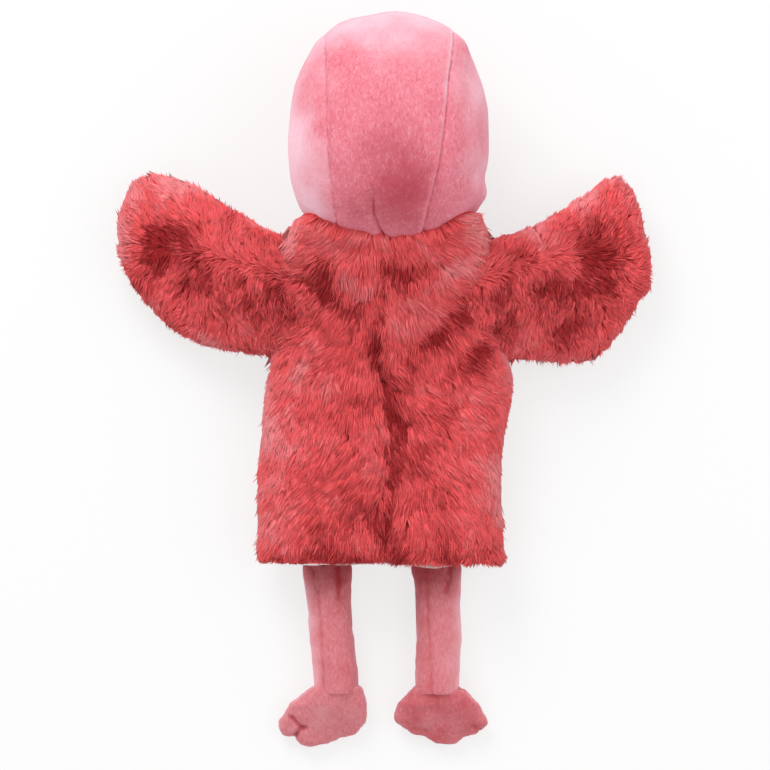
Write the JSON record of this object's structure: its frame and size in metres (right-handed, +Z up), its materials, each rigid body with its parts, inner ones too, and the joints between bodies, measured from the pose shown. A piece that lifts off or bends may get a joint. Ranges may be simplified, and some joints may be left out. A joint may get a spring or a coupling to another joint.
{
  "type": "plush flamingo hand puppet",
  "caption": "Plush flamingo glove puppet lying on its front: stuffed pink head with eyes and a bent beak, shaggy coral body and wings over a lining, stuffed legs and feet.",
  "frame": {"origin": "middle of the floor area that the lying puppet covers, on the floor", "axes": "+Y towards the head, +X towards the wing on the right when the back is looked at, +Z up out of the back"},
  "size_m": [0.2665, 0.3672, 0.1009],
  "materials": {
    "pink_plush": "short soft pile",
    "coral_fur": "long shaggy pile",
    "pale_lining": "plain woven",
    "stuffing": "loose fibre",
    "black_plush": "short soft pile",
    "black_plastic": "gloss",
    "white_plastic": "matte"
  },
  "bodies": {
    "root": {"head_gusset": "pink_plush", "head_chin": "pink_plush", "head_side_left": "pink_plush", "head_side_right": "pink_plush", "head_filling": "stuffing", "head_finger_pocket": "pale_lining", "eye_left": "black_plastic", "eye_right": "black_plastic", "eye_washer_left": "white_plastic", "eye_washer_right": "white_plastic", "beak_cover": "pink_plush", "beak_tip_cover": "black_plush", "beak_filling": "stuffing", "back_panel_left": "coral_fur", "back_panel_right": "coral_fur", "front_panel": "coral_fur", "wing_back_left": "coral_fur", "wing_back_right": "coral_fur", "wing_front_left": "coral_fur", "wing_front_right": "coral_fur", "glove_lining": "pale_lining", "leg_left": "pink_plush", "leg_right": "pink_plush", "leg_filling_left": "stuffing", "leg_filling_right": "stuffing", "foot_sole_left": "pink_plush", "foot_sole_right": "pink_plush", "foot_upper_left": "pink_plush", "foot_upper_right": "pink_plush", "foot_filling_left": "stuffing", "foot_filling_right": "stuffing"}
  },
  "joints": []
}
